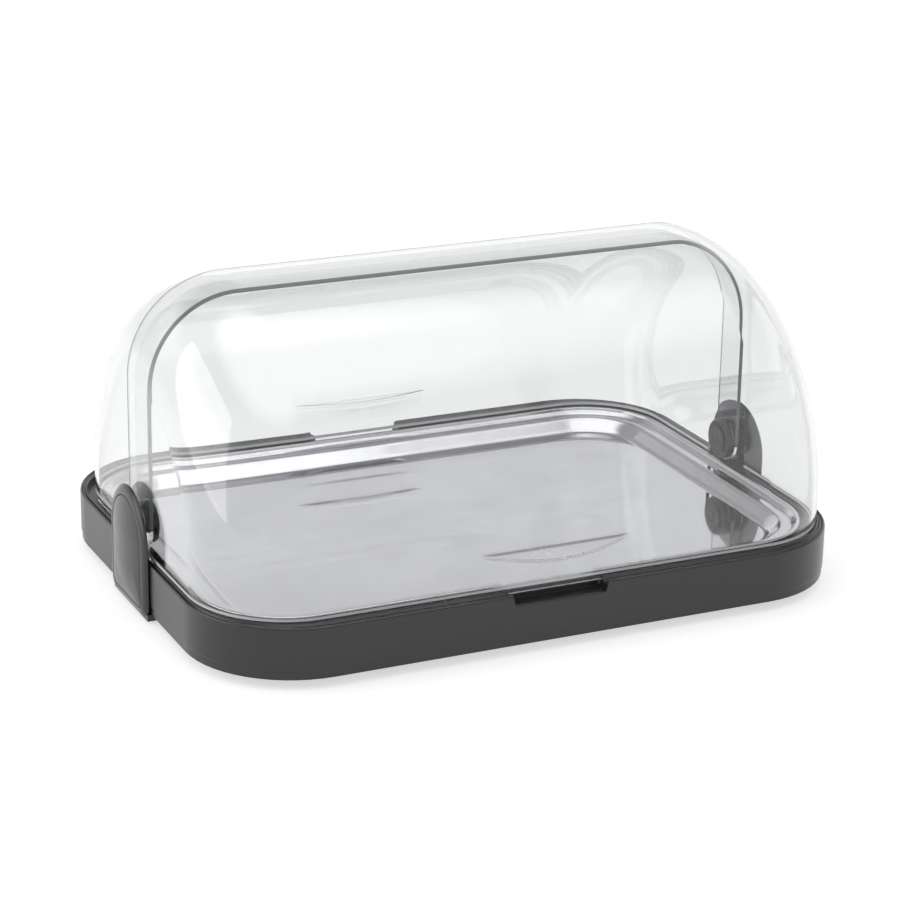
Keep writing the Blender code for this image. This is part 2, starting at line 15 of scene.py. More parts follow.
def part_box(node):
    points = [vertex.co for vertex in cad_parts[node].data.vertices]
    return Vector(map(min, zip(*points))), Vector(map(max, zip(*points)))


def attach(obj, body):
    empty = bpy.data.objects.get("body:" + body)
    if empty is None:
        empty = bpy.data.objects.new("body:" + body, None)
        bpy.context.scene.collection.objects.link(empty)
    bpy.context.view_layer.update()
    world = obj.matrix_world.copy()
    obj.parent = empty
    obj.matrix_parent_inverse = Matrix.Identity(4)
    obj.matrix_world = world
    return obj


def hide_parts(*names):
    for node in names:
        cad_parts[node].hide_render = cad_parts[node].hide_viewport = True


bl_info = {
    "name": "Chilled roll-top display",
    "version": (1, 0, 0),
    "blender": (4, 5, 0),
    "location": "3D View > Sidebar > Roll-top",
    "description": "Builds the finished pieces of a chilled roll-top display on its CAD frame",
    "category": "Object",
}

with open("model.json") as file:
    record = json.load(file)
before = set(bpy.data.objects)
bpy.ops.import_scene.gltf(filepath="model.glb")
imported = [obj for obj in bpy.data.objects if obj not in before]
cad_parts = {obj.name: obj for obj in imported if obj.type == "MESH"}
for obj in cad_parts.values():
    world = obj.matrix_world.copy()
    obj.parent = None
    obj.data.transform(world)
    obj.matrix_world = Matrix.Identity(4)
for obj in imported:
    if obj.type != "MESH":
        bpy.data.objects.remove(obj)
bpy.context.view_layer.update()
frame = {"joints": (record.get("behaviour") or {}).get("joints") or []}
BASE_LOW, BASE_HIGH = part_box("base_shell")
FRONT_LOW, FRONT_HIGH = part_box("front_lid")
PIVOT_HEIGHT = frame["joints"][0]["pos_m"][2]
SIDES = ((-1, "left"), (1, "right"))

# Materials by name, and those of a half hood: clear skin with a painted highlight at its foot,
# matt cut edge tinted grey as painted shade, and pale grip
LOOKS = {}
HOOD_LOOKS = ("clear_san", "cut_edge", "pale_grip")
SHADED_CUT_EDGE, PALE_GRIP = 1, 2

# Sizes that several pieces share
BORE_RADIUS = 0.0043
HUB_RADIUS = 0.0145
GRIP_SINK = 0.0012
OVERRUN = 0.002
EDGE_ANGLE = math.radians(40)


# Small helpers

def linear(code):
    """An sRGB hex colour as linear red, green, blue and alpha."""
    values = []
    for place in (1, 3, 5):
        share = int(code[place:place + 2], 16) / 255
        values.append(share / 12.92 if share <= 0.04045 else ((share + 0.055) / 1.055) ** 2.4)
    return (*values, 1.0)


def add_node(tree, kind, inputs=None, settings=None):
    """Add a node with its inputs, each a value or the socket that feeds it, and its settings."""
    node = tree.nodes.new(kind)
    for name, value in (settings or {}).items():
        setattr(node, name, value)
    for name, value in (inputs or {}).items():
        if isinstance(value, bpy.types.NodeSocket):
            tree.links.new(value, node.inputs[name])
        else:
            node.inputs[name].default_value = value
    return node


def toward(corner, other, reach):
    """The point that lies that far from the corner on its way to the other point."""
    run = other - corner
    size = max(abs(value) for value in run)
    return corner + run * min(reach / size, 0.5)


def soften(corners, steps=5):
    """Round each corner of a line by its own reach, holding the straight parts flat."""
    corners = [(Vector(corner), reach) for corner, reach in corners]
    line = []
    for place, (corner, reach) in enumerate(corners):
        if not reach or place in (0, len(corners) - 1):
            line.append(corner)
            continue
        start = toward(corner, corners[place - 1][0], reach)
        end = toward(corner, corners[place + 1][0], reach)
        for step in range(steps + 1):
            share = step / steps
            line.append(start.lerp(corner, share).lerp(corner.lerp(end, share), share))
    return line


def add_object(name, data):
    """Put a mesh, lamp or camera into the scene as an object."""
    piece = bpy.data.objects.new(name, data)
    bpy.context.scene.collection.objects.link(piece)
    return piece


def link_mesh(name, shape, looks, smooth_degrees=32):
    """Put a bmesh into a named object with its looks, smooth but for its sharp edges."""
    bmesh.ops.remove_doubles(shape, verts=shape.verts, dist=1e-6)
    bmesh.ops.recalc_face_normals(shape, faces=shape.faces)
    mesh = bpy.data.meshes.new(name)
    shape.to_mesh(mesh)
    shape.free()
    mesh.shade_smooth()
    mesh.set_sharp_from_angle(angle=math.radians(smooth_degrees))
    for look in looks:
        mesh.materials.append(LOOKS[look])
    return add_object(name, mesh)


def ring_mesh(name, rings, looks, smooth_degrees=32):
    """Join a row of closed rings into a named object and cap its two ends."""
    shape = bmesh.new()
    skin = [[shape.verts.new(point) for point in ring] for ring in rings]
    for lower, upper in zip(skin, skin[1:]):
        for place in range(len(lower)):
            after = (place + 1) % len(lower)
            shape.faces.new((lower[place], lower[after], upper[after], upper[place]))
    shape.faces.new(skin[0][::-1])
    shape.faces.new(skin[-1])
    return link_mesh(name, shape, looks, smooth_degrees)


def apply_modifiers(piece):
    """Bake the piece's modifiers into its mesh."""
    graph = bpy.context.evaluated_depsgraph_get()
    mesh = bpy.data.meshes.new_from_object(piece.evaluated_get(graph))
    old = piece.data
    piece.modifiers.clear()
    piece.data = mesh
    bpy.data.meshes.remove(old)
    mesh.name = piece.name


def combine(piece, tool, operation):
    """Cut the tool from the piece or join it on, then delete the tool."""
    step = piece.modifiers.new("combine", 'BOOLEAN')
    step.operation = operation
    step.solver = 'EXACT'
    step.object = tool
    apply_modifiers(piece)
    bpy.data.objects.remove(tool)


def round_edges(piece, width):
    """Round every clear edge of the piece, and keep its flat faces shaded flat."""
    step = piece.modifiers.new("edge rounding", 'BEVEL')
    step.width = width
    step.segments = 2
    step.limit_method = 'ANGLE'
    step.angle_limit = EDGE_ANGLE
    step.miter_outer = 'MITER_ARC'
    apply_modifiers(piece)
    piece.data.shade_smooth()
    piece.data.set_sharp_from_angle(angle=EDGE_ANGLE)
    settle_normals(piece)


def settle_normals(piece):
    """Keep the flat faces shaded flat beside their rounded edges."""
    step = piece.modifiers.new("flat shading", 'WEIGHTED_NORMAL')
    step.keep_sharp = True
    apply_modifiers(piece)


def finish_piece(piece, body, slot, *nodes):
    """Let the piece ride on its body in place of the CAD nodes that it stands for."""
    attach(piece, body)
    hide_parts(*nodes)


def turned(name, profile, axis, centre, looks, steps=64):
    """Turn a profile of (radius, along) about the X or Z axis through the centre.

    A profile that doesn't start and end on the axis is closed on itself.
    """
    shape = bmesh.new()
    rings = []
    for radius, along in profile:
        ring = []
        for step in range(steps if radius > 1e-7 else 1):
            angle = 2 * math.pi * step / steps
            across = (radius * math.cos(angle), radius * math.sin(angle))
            spot = (along, *across) if axis == 'X' else (*across, along)
            ring.append(shape.verts.new(Vector(centre) + Vector(spot)))
        rings.append(ring)
    pairs = list(zip(rings, rings[1:]))
    if len(rings[0]) > 1 and len(rings[-1]) > 1:
        pairs.append((rings[-1], rings[0]))
    for first, second in pairs:
        for step in range(steps):
            after = (step + 1) % steps
            if len(first) == 1:
                shape.faces.new((first[0], second[after], second[step]))
            elif len(second) == 1:
                shape.faces.new((first[step], first[after], second[0]))
            else:
                shape.faces.new((first[step], first[after], second[after], second[step]))
    return link_mesh(name, shape, looks)


def turned_line(points):
    """A softened profile from (radius, along, reach) values."""
    return soften([(point[:2], point[2]) for point in points], 3)


# Materials

def new_material(name):
    """An empty material, its tree and the object's own coordinates."""
    look = bpy.data.materials.new(name)
    look.use_nodes = True
    tree = look.node_tree
    tree.nodes.clear()
    return look, tree, add_node(tree, "ShaderNodeTexCoord").outputs["Object"]


def show(tree, shader, kind="ShaderNodeOutputMaterial"):
    """Send a shader to the tree's output."""
    add_node(tree, kind, {"Surface": shader})


def noise(tree, place, size, detail=2.0, roughness=0.5):
    """A soft noise whose patches are about that size across."""
    return add_node(tree, "ShaderNodeTexNoise",
                    {"Scale": 1 / size, "Detail": detail, "Roughness": roughness,
                     "Vector": place}).outputs["Fac"]


def spread(tree, value, low, high):
    """Map the usual range of a noise on to a range of numbers."""
    return add_node(tree, "ShaderNodeMapRange",
                    {"From Min": 0.3, "From Max": 0.7, "To Min": low, "To Max": high,
                     "Value": value}).outputs["Result"]


def mix_colours(tree, cloud, codes):
    """A colour that wanders between two hex codes with a noise."""
    first, second = (linear(code) for code in codes)
    return add_node(tree, "ShaderNodeMix", {0: spread(tree, cloud, 0, 1), 6: first, 7: second},
                    {"data_type": 'RGBA'}).outputs[2]


def calculate(tree, operation, *values):
    """The result of a math node on values or sockets."""
    return add_node(tree, "ShaderNodeMath", dict(enumerate(values)),
                    {"operation": operation}).outputs["Value"]


def mix_shaders(tree, share, first, second):
    """A shader between two, by a share."""
    return add_node(tree, "ShaderNodeMixShader", {0: share, 1: first, 2: second}).outputs["Shader"]


def principled(tree, inputs):
    """The shader that every finish is made with."""
    return add_node(tree, "ShaderNodeBsdfPrincipled", inputs).outputs["BSDF"]


def bump(tree, height, distance, strength):
    """A normal that follows a height."""
    return add_node(tree, "ShaderNodeBump", {"Distance": distance, "Strength": strength,
                                             "Height": height}).outputs["Normal"]


def moulded_plastic(name, codes, gloss, grain, specular=0.5):
    """Injection moulded plastic: a fine even grain that breaks the gloss into a satin sheen.

    The gloss is its lowest and highest roughness.
    """
    look, tree, place = new_material(name)
    show(tree, principled(tree, {
        "Base Color": mix_colours(tree, noise(tree, place, 0.08), codes),
        "Roughness": spread(tree, noise(tree, place, 0.05), *gloss),
        "IOR": 1.53,
        "Specular IOR Level": specular,
        "Normal": bump(tree, noise(tree, place, grain, 1.0), grain * 0.06, 0.2),
    }))
    return look


def clear_styrene(name, tint_code, gloss, clearness=1.0, painted_highlight_band=None):
    """Clear styrene-acrylonitrile: glass-like, faintly hazed by wiping.

    The painted highlight band is the height and half width of a pale band painted at its foot, a
    painted highlight that stands in for the light gathering there.
    """
    look, tree, place = new_material(name)
    tint = linear(tint_code)
    glassy = principled(tree, {
        "Base Color": tint,
        "IOR": 1.57,
        "Transmission Weight": clearness,
        "Roughness": spread(tree, noise(tree, place, 0.03, 5.0, 0.6), *gloss),
    })
    through = add_node(tree, "ShaderNodeBsdfTransparent", {"Color": tint}).outputs["BSDF"]
    path = add_node(tree, "ShaderNodeLightPath").outputs
    passing = calculate(tree, 'MAXIMUM', path["Is Shadow Ray"], path["Is Diffuse Ray"])
    shader = mix_shaders(tree, passing, glassy, through)
    # Painted highlight: a pale opaque band at the given height stands in for the light gathered
    # along the hood's foot
    if painted_highlight_band:
        height = add_node(tree, "ShaderNodeSeparateXYZ", {"Vector": place}).outputs["Z"]
        inside = calculate(tree, 'COMPARE', height, *painted_highlight_band)
        pale = principled(tree, {"Base Color": linear("#f2f2f4"), "Roughness": 0.4})
        shader = mix_shaders(tree, inside, shader, pale)
    show(tree, shader)
    return look


def polished_steel():
    """Deep-drawn stainless steel, polished: near mirror, with faint clouds and hairline marks."""
    look, tree, place = new_material("polished stainless steel")
    stretched = add_node(tree, "ShaderNodeMapping",
                         {"Scale": (6.0, 260.0, 260.0), "Vector": place}).outputs["Vector"]
    hair = spread(tree, noise(tree, stretched, 1.0, 3.0), 0.9, 1.2)
    cloud = noise(tree, place, 0.05, 3.0)
    show(tree, principled(tree, {
        "Metallic": 1.0,
        "Base Color": mix_colours(tree, cloud, ("#cbcace", "#d5d4d8")),
        "Roughness": calculate(tree, 'MULTIPLY', hair, spread(tree, cloud, 0.035, 0.055)),
        "Normal": bump(tree, cloud, 0.0001, 0.1),
    }))
    return look


def plated_steel(name, codes):
    """Zinc plated steel: a grey, pale or blackened, whose crystals leave a soft sparkle."""
    look, tree, place = new_material(name)
    cloud = noise(tree, place, 0.0015, 3.0)
    show(tree, principled(tree, {
        "Metallic": 1.0,
        "Base Color": mix_colours(tree, cloud, codes),
        "Roughness": spread(tree, cloud, 0.25, 0.4),
    }))
    return look


# Shapes of the base

def rounded_ring(station, run=(), steps=14, notch=None):
    """A level ring with round corners from a station (half x, half y, radius, height).

    The run gives places along the front and rear sides. The notch is a function that says how
    much of it is cut at a place, and the station that the ring takes where all of it is.
    """
    half_x, half_y, radius, height = station
    cut_share, cut_station = notch or (lambda along: 0, station)
    points = []
    for quarter, (side_x, side_y) in enumerate(((1, 1), (-1, 1), (-1, -1), (1, -1))):
        middle = Vector((side_x * (half_x - radius), side_y * (half_y - radius), height))
        for step in range(steps + 1):
            angle = (quarter + step / steps) * math.pi / 2
            points.append(middle + radius * Vector((math.cos(angle), math.sin(angle), 0)))
        if quarter in (0, 2):
            for along in sorted(run, reverse=quarter == 0):
                share = cut_share(along)
                depth = half_y + (cut_station[1] - half_y) * share
                level = height + (cut_station[3] - height) * share
                points.append(Vector((along, side_y * depth, level)))
    return points


def inset_station(half_x, half_y, radius, inset, height):
    """The station that lies that far inside another outline."""
    return Vector((half_x - inset, half_y - inset, radius - inset, height))


# Sizes and colours

def length(name, description, default):
    """A length in the panel."""
    return FloatProperty(name=name, description=description, default=default, unit='LENGTH')


class RollTopSizes(bpy.types.PropertyGroup):
    base_length: length("Base length", "Length of the base along the hinge axis",
                        BASE_HIGH.x - BASE_LOW.x)
    base_width: length("Base width", "Depth of the base from front to rear",
                       BASE_HIGH.y - BASE_LOW.y)
    base_bottom: length("Base underside", "Height of the base's underside above the table",
                        BASE_LOW.z)
    rim_top: length("Rim height", "Height of the base's rim", BASE_HIGH.z)
    base_corner: length("Base corner", "Radius of the base's corners seen from above", 0.068)
    notch_length: length("Notch length", "Length of the finger notches in the rim", 0.064)
    pivot_height: length("Hinge height", "Height of the hinge axis", PIVOT_HEIGHT)
    hood_half_length: length("Half hood length", "Half the length of the outer half hood",
                             FRONT_HIGH.x)
    hood_radius: length("Hood radius", "Radius of the outer half hood about the hinge axis",
                        FRONT_HIGH.z - PIVOT_HEIGHT)
    hood_corner: length("Hood corner", "Radius of the outer half hood's corners", 0.061)
    lid_wall: length("Hood wall", "Wall thickness of the half hoods", 0.0025)
    grip_length: length("Grip length", "Length of the grips on the half hoods", 0.1)
    hood_steps: IntProperty(name="Hood steps", description="Facets over each half hood",
                            default=96)


class RollTopColours(bpy.types.PropertyGroup):
    background: FloatVectorProperty(
        name="Background", description="Colour of the floor", default=(0.7, 0.7, 0.7),
        subtype='COLOR', size=3)
    background_glow: FloatProperty(
        name="Background glow", description="What the camera sees on the floor besides its colour",
        default=0.6)
    light_level: FloatProperty(
        name="Light level", description="Strength of the plain light all round", default=0.62)
    lamp_power: FloatProperty(
        name="Lamp power", description="Power of the large soft lamps", default=6.0)


def make_looks():
    """All the finishes, by the record's material slot or by the detail that they are for."""
    # Height and half width of the painted highlight along the clear hoods' foot, just above the
    # rim
    painted_highlight_band = (BASE_HIGH.z + 0.0013, 0.0007)
    LOOKS.update({
        "dark_abs": moulded_plastic("grained black ABS", ("#121213", "#151516"),
                                    (0.27, 0.32), 0.0006, 0.6),
        "satin_abs": moulded_plastic("smooth black ABS", ("#111112", "#141415"),
                                     (0.23, 0.28), 0.0009, 0.6),
        "clear_san": clear_styrene("clear SAN", "#f2f3f3", (0.0, 0.02), painted_highlight_band=painted_highlight_band),
        # The cut edge is matt, and its grey tint is painted shade for the dark line that light
        # leaving the edge makes
        "cut_edge": clear_styrene("matt SAN edge", "#a9adb0", (0.3, 0.4), 0.3),
        "pale_grip": clear_styrene("textured SAN grip", "#efeef3", (0.25, 0.35), 0.6),
        "polished_steel": polished_steel(),
        "zinc_steel": plated_steel("zinc plated steel", ("#a9acae", "#c2c3bd")),
        "dark_zinc": plated_steel("blackened zinc steel", ("#4a4b4d", "#58595a")),
        "white_nylon": moulded_plastic("white nylon", ("#e4e3dc", "#eeede6"), (0.4, 0.5), 0.0005),
        "black_rubber": moulded_plastic("black rubber", ("#101010", "#1a1a1a"),
                                        (0.6, 0.8), 0.0005, 0.3),
        "pack_polyethylene": moulded_plastic("pale blue polyethylene", ("#8fb9d6", "#a5cae3"),
                                             (0.4, 0.52), 0.0012),
        "cap_polyethylene": moulded_plastic("white polyethylene", ("#e6e8e8", "#f1f2f2"),
                                            (0.38, 0.5), 0.0009),
    })


class ROLLTOP_OT_base(bpy.types.Operator):
    """Build the dark base moulding with its groove, notches and cool pack floor"""
    bl_idname = "rolltop.base"
    bl_label = "Base moulding"

    def execute(self, context):
        sizes = context.scene.rolltop_sizes
        half_x = sizes.base_length / 2
        half_y = sizes.base_width / 2
        bottom = sizes.base_bottom
        rim = sizes.rim_top
        groove_gap = 0.0006
        rim_width = 0.0092
        groove_x = sizes.hood_half_length + groove_gap
        groove_y = half_y - rim_width
        groove_corner = sizes.hood_corner + groove_gap
        groove_floor = rim - 0.0035
        groove_draft = 0.002
        notch_floor = rim - 0.007
        notch_slant = 0.0022
        groove_width = 0.0116
        shelf_x = groove_x - groove_width
        shelf_y = groove_y - groove_width
        shelf_corner = sizes.hood_corner - 0.009
        cavity_draft = 0.002
        cavity = tuple(value - cavity_draft for value in (shelf_x, shelf_y, shelf_corner))
        wall = 0.003
        shell = tuple(value + wall for value in cavity)
        cavity_floor = bottom + wall
        floor_inset = 0.03
        channel_wall = 0.0036
        channel_roof = groove_floor - 0.006
        skirt = 0.0006
        skirt_height = 0.005

        def outer(inset, height):
            return inset_station(half_x, half_y, sizes.base_corner, inset, height)

        def groove(inset, height):
            return inset_station(groove_x, groove_y, groove_corner, inset, height)

        def ridges(level, valley):
            """The rim's top: a rounded outer ridge, a shallow valley and a ridge by the groove."""
            outside, inside = outer(0, level), groove(0, level)
            drop = Vector((0, 0, 0, valley))
            return [
                (outside - 0.6 * drop, 0.0012),
                (outside.lerp(inside, 0.2), 0.0004),
                (outside.lerp(inside, 0.42) - drop, 0.0004),
                (outside.lerp(inside, 0.64) - drop, 0.0004),
                (outside.lerp(inside, 0.8), 0.0004),
            ]

        under = [
            ((*shell, bottom), 0),
            ((*shell, channel_roof), 0.0006),
            (outer(channel_wall, channel_roof), 0.0006),
            (outer(channel_wall, bottom), 0.0003),
            (outer(skirt, bottom), 0.0005),
            (outer(skirt, bottom + skirt_height), 0.0002),
            (outer(0, bottom + skirt_height + skirt), 0.0003),
        ]
        rim_line = ridges(rim, 0.0013) + [
            (groove(0, rim - 0.0001), 0.0004),
            (groove(0, groove_floor), 0.0004),
            (groove(groove_draft, groove_floor), 0.0003),
        ]
        notch_line = ridges(notch_floor, 0.0002) + [
            (groove(-0.0005, notch_floor), 0.0005),
            (groove(groove_draft, notch_floor), 0.0004),
            (groove(groove_draft, groove_floor), 0.0003),
        ]
        inside = [
            ((shelf_x, shelf_y, shelf_corner, groove_floor), 0.0008),
            ((*cavity, cavity_floor), 0.002),
            ((*(value - floor_inset for value in cavity), cavity_floor), 0),
        ]
        half_notch = sizes.notch_length / 2
        places = [half_notch - notch_slant * step / 6 for step in range(-1, 8)]
        places += [0.012, 0.024, 0.06, 0.1]
        run = [side * place for side in (-1, 1) for place in places] + [0.0]

        def cut_share(along):
            """How much of the finger notch is cut at a place along the rim, its ends slanted."""
            share = min(max((half_notch - abs(along)) / notch_slant, 0.0), 1.0)
            return share * share * (3 - 2 * share)

        plain = soften(under + rim_line + inside)
        notched = soften(under + notch_line + inside)
        rings = [rounded_ring(station, run, notch=(cut_share, cut_station))
                 for station, cut_station in zip(plain, notched)]
        base = ring_mesh("base_moulding", rings, ["dark_abs"])
        settle_normals(base)
        finish_piece(base, "base", "dark_abs", "base_shell")
        return {'FINISHED'}


class ROLLTOP_OT_tray(bpy.types.Operator):
    """Build the pressed steel tray with its rolled bead, ledge and sunk floor"""
    bl_idname = "rolltop.tray"
    bl_label = "Steel tray"

    def execute(self, context):
        low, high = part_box("steel_tray")
        corner = 0.0545
        gauge = 0.001
        bead_top = high.z
        ledge = bead_top - 0.0042
        floor = ledge - 0.0078
        corners = [
            ((0.0, low.z), 0),
            ((0.0, bead_top), 0.0014),
            ((0.0028, bead_top), 0.0014),
            ((0.0028, bead_top - 0.0016), 0.0006),
            ((0.0062, ledge), 0.0016),
            ((0.0127, ledge), 0.0018),
            ((0.0212, floor), 0.0024),
            ((0.034, floor), 0),
        ]
        top = soften(corners, 7)
        under = []
        for place, point in enumerate(top):
            before = top[max(place - 1, 0)]
            after = top[min(place + 1, len(top) - 1)]
            across = [Vector((run.y, -run.x)).normalized()
                      for run in (point - before, after - point) if run.length]
            under.append(point + sum(across, Vector((0, 0))).normalized() * gauge)
        rings = [rounded_ring(inset_station(high.x, high.y, corner, inset, height),
                              (-0.1, 0, 0.1), 16) for inset, height in under[::-1] + top]
        tray = ring_mesh("pressed_tray", rings, ["polished_steel"], 50)
        settle_normals(tray)
        finish_piece(tray, "base", "polished_steel", "steel_tray")
        return {'FINISHED'}


# Shapes of the half hoods

def hood_profile(half, radius, corner):
    """Points (x, distance from the axis) from the left end wall over to the right one."""
    steps = 24
    quarter = []
    for step in range(steps + 1):
        angle = math.pi / 2 * step / steps
        quarter.append((half - corner + corner * math.cos(angle),
                        radius - corner + corner * math.sin(angle)))
    middle = [(along, radius) for along in (-0.1, -0.05, 0.0, 0.05, 0.1)]
    return [(-along, reach) for along, reach in quarter] + middle + quarter[::-1]


def hub_line(low):
    """The end wall's lower outline about the axis, from the far edge round the hub to the foot."""
    plate = HUB_RADIUS + 0.005
    slope = 0.004
    steps = 33
    hub = []
    for step in range(1, steps):
        angle = math.pi * step / steps
        hub.append(((HUB_RADIUS * math.cos(angle), -HUB_RADIUS * math.sin(angle)), 0))
    corners = [((HUB_RADIUS, 0), 0)] + hub + [
        ((-HUB_RADIUS, 0), 0.0008),
        ((-plate, 0), 0.0012),
        ((-plate, slope - low), 0.001),
        ((-plate - slope, -low), 0.001),
        ((-plate - 0.02, -low), 0),
    ]
    return soften(corners, 4)[:-1]


def half_hood(name, half, radius, corner, facing, sizes):
    """One half hood: two skins, end walls carried down round the hubs, and a cut far edge.

    It faces the front with 1 and the rear with -1.
    """
    low = sizes.pivot_height - FRONT_LOW.z
    steps = sizes.hood_steps
    wall = sizes.lid_wall
    shape = bmesh.new()

    def vert(along, across, up):
        return shape.verts.new((along, facing * across, sizes.pivot_height + up))

    skins = []
    for inset in (0, wall):
        rows = []
        for along, reach in hood_profile(half - inset, radius - inset, corner - inset):
            first = -math.asin(low / reach)
            last = math.pi / 2 + math.asin(HUB_RADIUS / reach)
            row = []
            for step in range(steps + 1):
                angle = first + (last - first) * step / steps
                row.append(vert(along, -reach * math.cos(angle), reach * math.sin(angle)))
            rows.append(row)
        skins.append(rows)
    outer, inner = skins
    for skin in skins:
        for row, after in zip(skin, skin[1:]):
            for step in range(steps):
                shape.faces.new((row[step], row[step + 1], after[step + 1], after[step]))
    # The cut far edge takes the matt edge look, darkened grey with painted shade
    for end in (0, steps):
        edge = [(row[end], lining[end]) for row, lining in zip(outer, inner)]
        for (first, first_inner), (second, second_inner) in zip(edge, edge[1:]):
            face = shape.faces.new((first, second, second_inner, first_inner))
            face.material_index = SHADED_CUT_EDGE if end else 0
    for row, side in ((0, -1), (-1, 1)):
        walls = []
        for skin, inset in ((outer, 0), (inner, wall)):
            lower = [vert(side * (half - inset), *point) for point in hub_line(low)]
            walls.append([skin[row][steps]] + lower + [skin[row][0]])
            shape.faces.new(skin[row] + lower)
        # The strip at the far edge's end takes the same matt edge look with painted shade
        for place in range(len(walls[0]) - 1):
            face = shape.faces.new((walls[0][place], walls[0][place + 1],
                                    walls[1][place + 1], walls[1][place]))
            face.material_index = 0 if place else SHADED_CUT_EDGE
    hood = link_mesh(name, shape, HOOD_LOOKS)
    for side in (-1, 1):
        bore = round_bar(BORE_RADIUS, side * (half + OVERRUN), side * (half - wall - OVERRUN),
                         sizes.pivot_height)
        combine(hood, bore, 'DIFFERENCE')
    return hood


def round_bar(radius, start, end, height):
    """A round bar along X at a height, as a tool to cut with or join on."""
    steps = 48
    rings = []
    for along in (start, end):
        ring = []
        for step in range(steps):
            angle = 2 * math.pi * (step + 0.5) / steps
            ring.append((along, radius * math.cos(angle), height + radius * math.sin(angle)))
        rings.append(ring)
    return ring_mesh("bar", rings, [])


def bow_shares(steps):
    """Places along a grip from -1 to 1, each with how full its bow is there."""
    for step in range(steps + 1):
        along_share = 2 * step / steps - 1
        yield along_share, 1 - along_share ** 2


class ROLLTOP_OT_front_hood(bpy.types.Operator):
    """Build the outer half hood at the front, with its bowed grip ledge"""
    bl_idname = "rolltop.front_hood"
    bl_label = "Front half hood"

    def execute(self, context):
        sizes = context.scene.rolltop_sizes
        radius = sizes.hood_radius
        hood = half_hood("front_half_hood", sizes.hood_half_length, radius, sizes.hood_corner,
                         1, sizes)
        thick = 0.0024
        ledge_reach = 0.009
        lip_drop = 0.005
        level = sizes.pivot_height + 0.0095
        root = radius - GRIP_SINK
        rings = []
        for along_share, bow in bow_shares(32):
            along = along_share * sizes.grip_length / 2
            reach = radius + ledge_reach * bow - GRIP_SINK * (1 - bow)
            lip = level - lip_drop * bow
            rings.append([(along, -across, height) for across, height in (
                (root, level), (reach, lip), (reach, lip - thick), (root, level - thick))])
        ledge = ring_mesh("grip ledge", rings, HOOD_LOOKS)
        for face in ledge.data.polygons:
            face.material_index = PALE_GRIP
        combine(hood, ledge, 'UNION')
        round_edges(hood, 0.0004)
        finish_piece(hood, "front_lid", "clear_san", "front_lid")
        return {'FINISHED'}


class ROLLTOP_OT_rear_hood(bpy.types.Operator):
    """Build the inner half hood at the rear, with its finger scoop"""
    bl_idname = "rolltop.rear_hood"
    bl_label = "Rear half hood"

    def execute(self, context):
        sizes = context.scene.rolltop_sizes
        wall = sizes.lid_wall
        side_gap = 0.002
        radial_gap = 0.0035
        corner_step = 0.005
        half = sizes.hood_half_length - wall - side_gap
        radius = sizes.hood_radius - wall - radial_gap
        hood = half_hood("rear_half_hood", half, radius, sizes.hood_corner - corner_step,
                         -1, sizes)
        roof = sizes.pivot_height + 0.0075
        tall = 0.015
        lip = 0.0024
        scoop_depth = 0.008
        half_grip = sizes.grip_length / 2
        bodies = []
        voids = []
        for along_share, bow in bow_shares(24):
            deep = radius - (scoop_depth * bow - GRIP_SINK * (1 - bow))
            for rings, reach_along, outer, thick in (
                    (bodies, half_grip + wall, radius - GRIP_SINK, wall),
                    (voids, half_grip, radius + OVERRUN, 0)):
                along = along_share * reach_along
                rings.append([(along, across, height) for across, height in (
                    (outer, roof + thick), (deep - thick, roof + thick),
                    (deep - thick, roof - lip), (outer, roof - tall - thick))])
        for name, rings, operation in (("scoop wall", bodies, 'UNION'),
                                       ("scoop", voids, 'DIFFERENCE')):
            combine(hood, ring_mesh(name, rings, ["clear_san"]), operation)
        round_edges(hood, 0.0004)
        finish_piece(hood, "rear_lid", "clear_san", "rear_lid")
        return {'FINISHED'}


# Shapes of the brackets

def arch(half, bottom, corner, along, middle, inset=0.0):
    """An upright arch at x = along: straight sides, a round top and rounded bottom corners."""
    reach = half - inset
    low = bottom + inset
    turn = min(max(corner - inset, 0.0006), reach * 0.98)
    corner_steps = 8
    steps = 32
    outline = []
    for side in (-1, 1):
        for step in range(corner_steps + 1):
            share = step / corner_steps
            angle = math.pi / 2 * (share if side < 0 else 1 - share)
            outline.append((along, side * (reach - turn + turn * math.cos(angle)),
                            low + turn - turn * math.sin(angle)))
    for step in range(steps + 1):
        angle = math.pi * step / steps
        outline.append((along, reach * math.cos(angle), middle + reach * math.sin(angle)))
    return outline


def block(low, high):
    """A plain block between two corners, as a tool to cut with or join on."""
    rings = [[(low[0], low[1], height), (high[0], low[1], height),
              (high[0], high[1], height), (low[0], high[1], height)]
             for height in (low[2], high[2])]
    return ring_mesh("block", rings, [])


